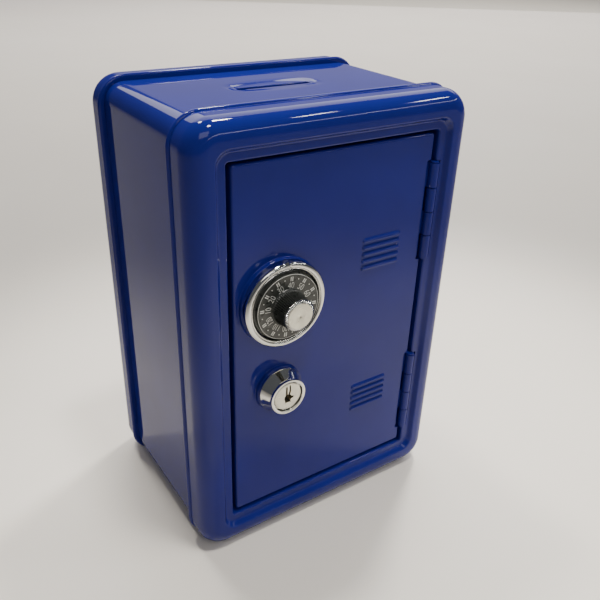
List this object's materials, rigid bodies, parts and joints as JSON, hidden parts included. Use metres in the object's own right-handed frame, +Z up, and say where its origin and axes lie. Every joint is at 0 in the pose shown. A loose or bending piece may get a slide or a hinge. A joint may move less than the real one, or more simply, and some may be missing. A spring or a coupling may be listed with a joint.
{
  "type": "toy safe coin bank",
  "caption": "Small sheet-metal toy safe with a hinged door, combination dial, key lock and a coin slot in the top.",
  "frame": {"origin": "on the surface it stands on, at the middle of the width and of the whole depth, knob included", "axes": "+Z up, +X to the right seen from the front, the door faces -Y"},
  "size_m": [0.121, 0.101, 0.18],
  "materials": {
    "blue_enamel": "glossy royal-blue enamel with a slight orange peel",
    "chrome": "bright chrome plate",
    "satin_nickel": "bright satin end cap",
    "zinc_steel": "zinc-plated steel",
    "brass": "plain turned or stamped brass",
    "black_plastic": "satin black moulding"
  },
  "bodies": {
    "cabinet": {"body_sleeve": "blue_enamel", "front_frame": "blue_enamel", "back_cover": "blue_enamel", "strike_lug": "zinc_steel", "frame_hinge_leaf_upper": "blue_enamel", "frame_hinge_leaf_lower": "blue_enamel", "hinge_pin_upper": "zinc_steel", "hinge_pin_lower": "zinc_steel"},
    "door": {"door_panel": "blue_enamel", "door_hinge_leaf_upper": "blue_enamel", "door_hinge_leaf_lower": "blue_enamel", "dial_bezel": "chrome", "bezel_nuts": "zinc_steel", "spindle_bush": "brass", "bush_nut": "brass", "wheel_spacers": "zinc_steel", "bush_clip": "zinc_steel", "wheel_bridge": "zinc_steel", "bridge_nuts": "zinc_steel", "lock_housing": "chrome", "lock_washer": "zinc_steel", "lock_nut": "zinc_steel"},
    "dial": {"dial_plate": "black_plastic", "dial_knob": "black_plastic", "knob_cap": "satin_nickel", "dial_spindle": "zinc_steel", "drive_wheel": "zinc_steel", "drive_pin": "zinc_steel", "spindle_clip": "zinc_steel"},
    "front_tumbler": {"tumbler_wheel_front": "brass"},
    "rear_tumbler": {"tumbler_wheel_rear": "brass"},
    "key_plug": {"lock_cylinder": "chrome", "lock_wafers": "brass", "lock_cam": "zinc_steel", "cam_screw": "zinc_steel"}
  },
  "joints": [
    {"name": "door_swing", "type": "hinge", "parent": "cabinet", "child": "door", "pos_m": [0.0452, -0.0369, 0.09], "axis": [0, 0, 1], "range_deg": [0, 110]},
    {"name": "dial_turn", "type": "hinge", "parent": "door", "child": "dial", "pos_m": [-0.0243, -0.0365, 0.1105], "axis": [0, 1, 0], "continuous": true},
    {"name": "front_tumbler_turn", "type": "hinge", "parent": "door", "child": "front_tumbler", "pos_m": [-0.0243, -0.0254, 0.1105], "axis": [0, 1, 0], "continuous": true},
    {"name": "rear_tumbler_turn", "type": "hinge", "parent": "door", "child": "rear_tumbler", "pos_m": [-0.0243, -0.0218, 0.1105], "axis": [0, 1, 0], "continuous": true},
    {"name": "key_turn", "type": "hinge", "parent": "door", "child": "key_plug", "pos_m": [-0.0245, -0.0365, 0.072], "axis": [0, 1, 0], "range_deg": [0, 90]}
  ]
}
